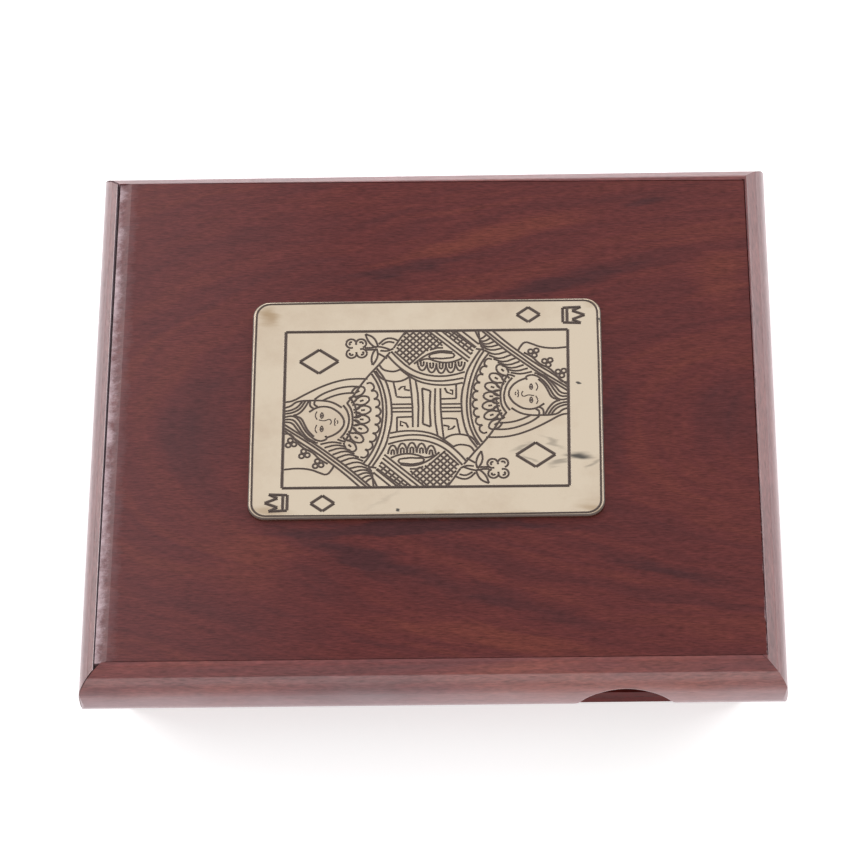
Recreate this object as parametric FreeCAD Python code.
import FreeCAD, Part
import math
import os

# A low hardwood box for two packs of playing cards.  A flat panel is set inside a moulded rim
# that overhangs the walls below it.  Three sides of the rim belong to the case; the fourth, at
# the left end, is the front of a drawer that slides out sideways with the packs in it.
#
# Millimetres.  +X to the right, +Y to the back, +Z up.  The origin lies on the table, under the
# middle of the rim.  The drawer opens towards -X.

V = FreeCAD.Vector
os.makedirs("parts", exist_ok=True)

# ---- playing cards ------------------------------------------------------------------------
card_length = 88.9
card_width = 63.5
card_play = 1.3            # space left round a pack in its well

# ---- rim ----------------------------------------------------------------------------------
# The moulding's section is given by how far each line lies in from its outer face, and how far
# it lies below the panel's top.
rim_length = 173.8
rim_width = 151.5
rim_height = 15.7
lip_in = 5.2               # outer edge of the flat lip
ridge_in = 2.75            # ridge between the two bevels
ridge_drop = 1.75
knee_in = 0.45             # where the lower bevel would meet the face, which leans out below it
knee_drop = 4.95
belly_height = 4.2         # the face is widest this far above the underside
lip_round = 1.0
ridge_round = 1.0
knee_round = 7.9
bottom_round = 3.9
corner_round = 1.6
drawer_rail_in = 4.2       # the drawer's rail stops short of the panel's free end
end_rail_proud = 0.25      # the right rail stands a little above the panel

# ---- panel --------------------------------------------------------------------------------
# How far each corner of the panel lies in from the outside of the rim.  It is a little out of
# square, and the glued rails take up the difference.
panel_thickness = 4.5
panel_in_front = 6.35
panel_in_back_left = 4.85
panel_in_back_right = 6.45
panel_in_right_front = 5.1
panel_in_right_back = 5.75
panel_in_left_front = 4.55
panel_in_left_back = 5.05
end_roll_width = 3.0       # the free end is rolled over to meet the drawer's rail
end_roll_drop = 0.7
end_roll_swell = 0.15      # how far it stands out past a straight slope
joint_ease = 0.3           # fine V along the glued joints

# ---- walls and base -----------------------------------------------------------------------
rim_overhang = 9.2         # from the outside of the rim in to the walls
wall_thickness = 6.5
wall_height = 12.5
base_thickness = 3.0
base_edge_round = 0.8
wall_corner_round = 1.5

# ---- finger notch under the front rail ----------------------------------------------------
notch_inset = 39.7         # from the right end of the rim to the middle of the notch
notch_width = 25.4         # across the underside of the rim
notch_height = 9.3
notch_sill = 3.0           # wood left in the front wall below the notch
notch_edge_round = 0.6

# ---- brass card plate ---------------------------------------------------------------------
plate_proud = 1.2
plate_let_in = 0.6
plate_corner = 4.3
plate_edge_round = 0.5
plate_shift_x = -1.46      # the plate sits a little off the middle of the rim
plate_shift_y = 1.16
plate_fit = 0.05

# ---- drawer -------------------------------------------------------------------------------
side_clearance = 0.6
run_clearance = 0.3        # under the drawer's sides
head_clearance = 0.3       # between the drawer and the panel above it
mouth_clearance = 0.4      # between the drawer's front board and the ends of the walls
mitre_gap = 0.5            # open mitres between the drawer's rail and the case's rails
back_clearance = 1.0
drawer_side = 3.6
drawer_floor = 2.4
floor_lift = 0.3           # the floor hangs clear of the surface the sides run on
floor_rebate = 1.8
divider_thickness = 3.2
housing_depth = 1.4        # how far the ends of floor, dividers and inner end are let in
board_edge_round = 0.7
divider_drop = 1.0         # dividers stop short of the sides' top edge
thumb_radius = 11.0
lining_thickness = 0.8
lining_margin = 0.3

# ---- drawer stop --------------------------------------------------------------------------
peg_diameter = 3.0
peg_inset = 14.0           # from the mouth of the case
peg_height = 6.0           # above the base board
peg_reach = 1.2            # how far the peg enters the groove
peg_fit = 0.05
groove_depth = 1.8
groove_margin = 0.5        # above and below the peg
groove_end = 10.0          # solid wood left at the drawer's inner end

# ---- base screws --------------------------------------------------------------------------
screw_length = 9.0
screw_radius = 1.2
screw_head_radius = 2.5
screw_head_height = 1.5
screw_sink = 0.2           # heads lie just below the underside
screw_tip = 1.6
screw_fit = 0.05
mouth_screw_inset = 22.0   # from the mouth of the case
notch_screw_gap = 5.5      # from the finger notch to the screws beyond it
end_screw_span = 84.0

# ---- worked out ---------------------------------------------------------------------------
half_x = rim_length / 2
half_y = rim_width / 2
rail_width = rim_overhang + wall_thickness
wall_x = half_x - rim_overhang
wall_y = half_y - rim_overhang
inside_x = wall_x - wall_thickness
inside_y = wall_y - wall_thickness
rim_bottom = base_thickness + wall_height
top = rim_bottom + rim_height
panel_underside = top - panel_thickness
mouth_x = -inside_x + mouth_clearance

notch_x = half_x - notch_inset
notch_radius = (notch_width ** 2 / 4 + notch_height ** 2) / (2 * notch_height)
notch_centre_z = rim_bottom + notch_height - notch_radius

drawer_x0 = -inside_x
drawer_x1 = inside_x - back_clearance
drawer_y = inside_y - side_clearance
drawer_z0 = base_thickness + run_clearance
drawer_z1 = panel_underside - head_clearance
well_x0 = drawer_x0
well_x1 = drawer_x1 - drawer_side
well_y1 = drawer_y - drawer_side
floor_z0 = drawer_z0 + floor_lift
floor_z1 = floor_z0 + drawer_floor
divider_z1 = drawer_z1 - divider_drop
well_y0 = well_y1 - card_length - 2 * card_play
trough_y1 = well_y0 - divider_thickness
well_middle_x = (well_x0 + well_x1) / 2

peg_x = mouth_x + peg_inset
peg_z = base_thickness + peg_height


def block(x0, x1, y0, y1, z0, z1):
    return Part.makeBox(x1 - x0, y1 - y0, z1 - z0, V(x0, y0, z0))


def prism(points, z0, z1):
    corners = [V(x, y, z0) for x, y in points]
    face = Part.Face(Part.makePolygon(corners + corners[:1]))
    return face.extrude(V(0, 0, z1 - z0))


def edges_along(shape, axis, test):
    """The straight edges parallel to axis whose middle passes the test."""
    found = []
    for edge in shape.Edges:
        if not isinstance(edge.Curve, Part.Line):
            continue
        start, end = (v.Point for v in edge.Vertexes)
        run = end.sub(start)
        if run.Length > 0 and abs(abs(run.normalize().dot(axis)) - 1) < 1e-6:
            if test((start + end) * 0.5):
                found.append(edge)
    return found


def rounded_block(x0, x1, y0, y1, z0, z1, radius):
    """A block whose four upright corners are rounded."""
    solid = block(x0, x1, y0, y1, z0, z1)
    return solid.makeFillet(radius, edges_along(solid, V(0, 0, 1), lambda p: True))


def write(shape, node):
    shape.exportStep(os.path.join("parts", node + ".step"))


# ---- moulded rim --------------------------------------------------------------------------
# Every rail is a length of one moulding: a flat lip, two bevels that meet in a ridge, and a
# face that swells out below them and turns under in a broad round.  The rest of it runs in
# under the panel.

def moulding_section(outer, start, proud):
    def at(inward, z):
        return V(start, inward - outer, z)

    corners = [
        at(rail_width, rim_bottom), at(rail_width, top + proud), at(lip_in, top + proud),
        at(ridge_in, top - ridge_drop), at(knee_in, top - knee_drop),
        at(0, rim_bottom + belly_height), at(0, rim_bottom)]
    return Part.Face(Part.makePolygon(corners + corners[:1]))


def mitred_rail(outer, half_length, turn, proud=0.0, gap=0.0):
    """A length of the moulding with 45 degree mitres at both ends, turned to its side."""
    bar = moulding_section(outer, -half_length, proud).extrude(V(2 * half_length, 0, 0))
    rounded = [
        (lip_in, top + proud, lip_round),
        (ridge_in, top - ridge_drop, ridge_round),
        (knee_in, top - knee_drop, knee_round),
        (0, rim_bottom, bottom_round),
    ]
    for inward, z, radius in rounded:
        line = edges_along(
            bar, V(1, 0, 0), lambda p: math.hypot(p.y + outer - inward, p.z - z) < 1e-6)
        bar = bar.makeFillet(radius, line)

    inner = rail_width - outer
    reach = half_length - gap
    plan = [(-reach, -outer), (reach, -outer), (reach - rail_width, inner), (rail_width - reach, inner)]
    bar = bar.common(prism(plan, 0, top + proud))
    bar.rotate(V(0, 0, 0), V(0, 0, 1), turn)
    return bar.common(rounded_block(-half_x, half_x, -half_y, half_y, 0, top + proud, corner_round))


# Each rail is made full width.  The room for the panel is then cut out of the three glued ones,
# and the drawer's rail is cut back to clear the panel's free end.
front_left = (panel_in_left_front - half_x, panel_in_front - half_y)
front_right = (half_x - panel_in_right_front, panel_in_front - half_y)
back_right = (half_x - panel_in_right_back, half_y - panel_in_back_right)
back_left = (panel_in_left_back - half_x, half_y - panel_in_back_left)
past_back_left = tuple(r + 1.1 * (l - r) for l, r in zip(back_left, back_right))
panel_room = prism(
    [(-half_x, front_left[1]), front_right, back_right, past_back_left],
    panel_underside, top + end_rail_proud)
drawer_rail_room = block(drawer_rail_in - half_x, 0, -half_y, half_y, drawer_z1, top)


def notch_cutter(y0, y1):
    """The round-headed finger opening, with straight legs down to the sill in the front wall."""
    x0 = notch_x - notch_radius
    x1 = notch_x + notch_radius
    arch = Part.makeCylinder(notch_radius, y1 - y0, V(notch_x, y0, notch_centre_z), V(0, 1, 0))
    legs = block(x0, x1, y0, y1, 0, notch_centre_z)
    above_sill = block(x0, x1, y0, y1, base_thickness + notch_sill, top)
    return arch.fuse(legs).common(above_sill)


def eased_notch(rail):
    """Rounds the arris where the notch breaks through the face of the rail."""
    cut = rail.cut(notch_cutter(-half_y - 1, -inside_y + 1))
    rim_face_y = -half_y + bottom_round
    arch_edges = []
    for edge in cut.Edges:
        middle = edge.valueAt((edge.FirstParameter + edge.LastParameter) / 2)
        from_axis = math.hypot(middle.x - notch_x, middle.z - notch_centre_z)
        on_arch = abs(from_axis - notch_radius) < 1e-4
        on_face = middle.y < rim_face_y and middle.z > rim_bottom + 1e-3
        if on_arch and on_face:
            arch_edges.append(edge)
    return cut.makeFillet(notch_edge_round, arch_edges)


front_rail = eased_notch(mitred_rail(half_y, half_x, 0).cut(panel_room))
back_rail = mitred_rail(half_y, half_x, 180).cut(panel_room)
end_rail = mitred_rail(half_x, half_y, 90, proud=end_rail_proud).cut(panel_room)

write(front_rail, "front_rail")
write(back_rail, "back_rail")
write(end_rail, "end_rail")


# ---- brass card plate ---------------------------------------------------------------------
# A plate of a card's size, let into the panel, with a softly rounded upper edge.

def plate_block(grow, z0, z1):
    reach_x = card_length / 2 + grow
    reach_y = card_width / 2 + grow
    return rounded_block(
        plate_shift_x - reach_x, plate_shift_x + reach_x,
        plate_shift_y - reach_y, plate_shift_y + reach_y, z0, z1, plate_corner + grow)


plate = plate_block(0, top - plate_let_in, top + plate_proud)
plate_rim = [edge for edge in plate.Edges if edge.BoundBox.ZMin > top + plate_proud - 1e-6]
plate = plate.makeFillet(plate_edge_round, plate_rim)
write(plate, "card_plate")


# ---- top panel ----------------------------------------------------------------------------
# Three of its edges are glued to the rim, with a fine V along the joints.  The free left end
# lies beside the drawer's rail and is rolled over towards it.

def end_roll():
    """All that lies above a gentle arc from the top down to the free end."""
    x, y = front_left
    edge = V(back_left[0] - x, back_left[1] - y, 0)
    low = V(x, y, top - end_roll_drop)
    high = V(x + end_roll_width, y, top)
    across = high.sub(low).cross(V(0, -1, 0)).normalize()
    arc = Part.Arc(low, (low + high) * 0.5 + across * end_roll_swell, high)
    over = [high, V(high.x, y, top + 1), V(x - 1, y, top + 1), V(x - 1, y, low.z), low]
    outline = Part.Wire([arc.toShape()] + Part.makePolygon(over).Edges)
    return Part.Face(outline).extrude(edge)


panel = prism([front_left, front_right, back_right, back_left], panel_underside, top)
glued = [
    edge for edge in panel.Edges
    if edge.BoundBox.ZMin > top - 1e-6 and edge.BoundBox.XMax > 0]
panel = panel.makeChamfer(joint_ease, glued).cut(end_roll())
panel = panel.cut(plate_block(plate_fit, top - plate_let_in, top + plate_proud))
write(panel, "top_panel")


# ---- base screws --------------------------------------------------------------------------
# Countersunk screws up through the base board, along the middle of each wall.

def screw_solid(x, y):
    neck = screw_sink + screw_head_height
    tip = screw_sink + screw_length
    outline = [
        V(0, 0, screw_sink), V(screw_head_radius, 0, screw_sink), V(screw_radius, 0, neck),
        V(screw_radius, 0, tip - screw_tip), V(0, 0, tip), V(0, 0, screw_sink)]
    solid = Part.Face(Part.makePolygon(outline)).revolve(V(0, 0, 0), V(0, 0, 1), 360)
    solid.translate(V(x, y, 0))
    return solid


def screw_hole(x, y):
    """A countersunk hole that carries on as a straight pilot hole."""
    head = screw_head_radius + screw_fit
    shank = screw_radius + screw_fit
    slope = screw_head_height / (screw_head_radius - screw_radius)
    low = head + screw_sink / slope
    sink = Part.makeCone(low, shank, (low - shank) * slope, V(x, y, 0))
    return sink.fuse(Part.makeCylinder(shank, screw_sink + screw_length + screw_fit, V(x, y, 0)))


screw_line_y = wall_y - wall_thickness / 2
screw_places = []
for side in (-1, 1):
    screw_places.append((mouth_x + mouth_screw_inset, side * screw_line_y))
    screw_places.append((notch_x + notch_radius + notch_screw_gap, side * screw_line_y))
    screw_places.append((wall_x - wall_thickness / 2, side * end_screw_span / 2))

screws = [screw_solid(x, y) for x, y in screw_places]
screw_holes = [screw_hole(x, y) for x, y in screw_places]
write(Part.makeCompound(screws), "base_screws")


# ---- walls and base board -----------------------------------------------------------------
# The walls stand on the base board and carry the rim.  The long walls run the full length and
# the end wall is butted between them.  Nothing closes the left end but the drawer.

def peg_solid(grow):
    depth = wall_y - (drawer_y - peg_reach)
    return Part.makeCylinder(
        peg_diameter / 2 + grow, depth, V(peg_x, wall_y - depth, peg_z), V(0, 1, 0))


def corner_eased(shape, x, radius):
    """Rounds the two outer upright corners at x."""
    return shape.makeFillet(radius, edges_along(
        shape, V(0, 0, 1), lambda p: abs(p.x - x) < 1e-6 and abs(p.y) > wall_y - 1e-6))


front_wall = corner_eased(block(mouth_x, wall_x, -wall_y, -inside_y, base_thickness, rim_bottom),
                          wall_x, wall_corner_round)
front_wall = front_wall.cut(notch_cutter(-wall_y - 1, -inside_y + 1)).cut(screw_holes)
back_wall = corner_eased(block(mouth_x, wall_x, inside_y, wall_y, base_thickness, rim_bottom),
                         wall_x, wall_corner_round)
back_wall = back_wall.cut(peg_solid(peg_fit)).cut(screw_holes)
end_wall = block(inside_x, wall_x, -inside_y, inside_y, base_thickness, rim_bottom)
end_wall = end_wall.cut(screw_holes)

base_board = corner_eased(block(mouth_x, wall_x, -wall_y, wall_y, 0, base_thickness),
                          wall_x, wall_corner_round)
base_edges = [
    edge for edge in base_board.Edges
    if edge.BoundBox.ZMax < 1e-6 and edge.BoundBox.XMax > mouth_x + 1e-6]
base_board = base_board.makeFillet(base_edge_round, base_edges).cut(screw_holes)

write(front_wall, "front_wall")
write(back_wall, "back_wall")
write(end_wall, "end_wall")
write(base_board, "base_board")
write(peg_solid(0), "stop_peg")


# ---- drawer box ---------------------------------------------------------------------------
# The front board hangs under the drawer's rail and shuts against the ends of the walls.  The
# floor is let into rebates along the sides, and the dividers are housed in the boards they meet.

def top_eased(board, axis):
    """Rounds the long top edges of an upright board."""
    high = board.BoundBox.ZMax
    return board.makeFillet(board_edge_round, edges_along(board, axis, lambda p: p.z > high - 1e-6))


along_x = V(1, 0, 0)
along_y = V(0, 1, 0)
floor = block(drawer_x0 - housing_depth, well_x1 + floor_rebate, -well_y1 - floor_rebate,
              well_y1 + floor_rebate, floor_z0, floor_z1)
floor_room = block(drawer_x0 - housing_depth, well_x1 + floor_rebate, -well_y1 - floor_rebate,
                   well_y1 + floor_rebate, drawer_z0, floor_z1)

# One divider parts the two wells.  The other parts them from the long trough, and is dipped
# beside each well so that a pack can be lifted out.
trough_divider = top_eased(
    block(well_x0 - housing_depth, well_x1 + housing_depth, trough_y1, well_y0,
          floor_z1, divider_z1), along_x)
deck_divider = top_eased(
    block(well_middle_x - divider_thickness / 2, well_middle_x + divider_thickness / 2,
          well_y0 - housing_depth, well_y1 + housing_depth, floor_z1, divider_z1), along_y)
well_length_x = well_middle_x - divider_thickness / 2 - well_x0
for well_start in (well_x0, well_x1 - well_length_x):
    dip = Part.makeCylinder(thumb_radius, divider_thickness,
                            V(well_start + well_length_x / 2, trough_y1, divider_z1), along_y)
    trough_divider = trough_divider.cut(dip)

near_side = block(drawer_x0, drawer_x1, -drawer_y, -well_y1, drawer_z0, drawer_z1)
far_side = block(drawer_x0, drawer_x1, well_y1, drawer_y, drawer_z0, drawer_z1)
inner_end = block(well_x1, drawer_x1, -well_y1 - housing_depth, well_y1 + housing_depth,
                  drawer_z0, drawer_z1)
near_side = top_eased(near_side, along_x).cut(floor_room).cut(inner_end)
far_side = top_eased(far_side, along_x).cut(floor_room).cut(inner_end).cut(deck_divider)
inner_end = inner_end.cut(floor_room).cut(trough_divider)
trough_divider = trough_divider.cut(deck_divider)

# The stop peg rides in this groove and meets its inner end when the drawer is right out.
groove_half = peg_diameter / 2 + groove_margin
groove = block(peg_x - groove_half, drawer_x1 - groove_end, drawer_y - groove_depth, drawer_y,
               peg_z - groove_half, peg_z + groove_half)
far_side = far_side.cut(groove)

front_board = block(-wall_x, -inside_x, -wall_y, wall_y, drawer_z0 - base_thickness, rim_bottom)
front_board = corner_eased(front_board, -wall_x, wall_corner_round)
front_board = front_board.cut(floor_room).cut(trough_divider)
drawer_rail = mitred_rail(half_x, half_y, -90, gap=mitre_gap)
drawer_rail = drawer_rail.cut(drawer_rail_room).cut(trough_divider)

write(drawer_rail, "drawer_rail")
write(front_board, "drawer_front_board")
write(floor, "drawer_floor")
write(near_side, "drawer_near_side")
write(far_side, "drawer_far_side")
write(inner_end, "drawer_inner_end")
write(deck_divider, "deck_divider")
write(trough_divider, "trough_divider")


# ---- linings ------------------------------------------------------------------------------

def lining(x0, x1, y0, y1):
    return block(x0 + lining_margin, x1 - lining_margin, y0 + lining_margin, y1 - lining_margin,
                 floor_z1, floor_z1 + lining_thickness)


write(lining(well_x0, well_x0 + well_length_x, well_y0, well_y1), "left_well_lining")
write(lining(well_x1 - well_length_x, well_x1, well_y0, well_y1), "right_well_lining")
write(lining(well_x0, well_x1, -well_y1, trough_y1), "trough_lining")
